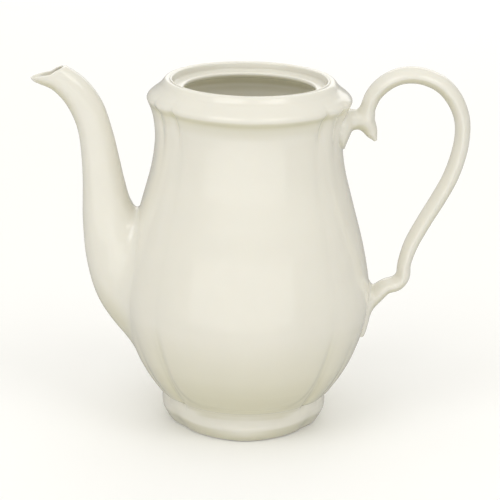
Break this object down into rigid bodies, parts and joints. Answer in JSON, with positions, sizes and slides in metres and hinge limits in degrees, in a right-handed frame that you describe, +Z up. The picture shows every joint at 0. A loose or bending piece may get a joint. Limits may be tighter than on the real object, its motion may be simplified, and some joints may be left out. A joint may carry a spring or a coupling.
{
  "type": "coffee pot",
  "caption": "Fluted pear-shaped ceramic coffee pot with a swan-neck spout, an ear handle with a scrolled tip and a round lid seat; the lid is not included.",
  "frame": {"origin": "on the table plane under the foot ring, on the axis of the bowl, midway between the tip of the spout and the back of the handle", "axes": "+Z up the axis of the bowl, +X from the spout towards the handle, +Y to the back of the pot"},
  "size_m": [0.2212, 0.1278, 0.1866],
  "materials": {
    "ivory_glaze": "glossy ivory glaze over porcelain"
  },
  "bodies": {
    "root": {"body": "ivory_glaze", "gallery_ring": "ivory_glaze", "foot_ring": "ivory_glaze", "spout": "ivory_glaze", "handle": "ivory_glaze"}
  },
  "joints": []
}
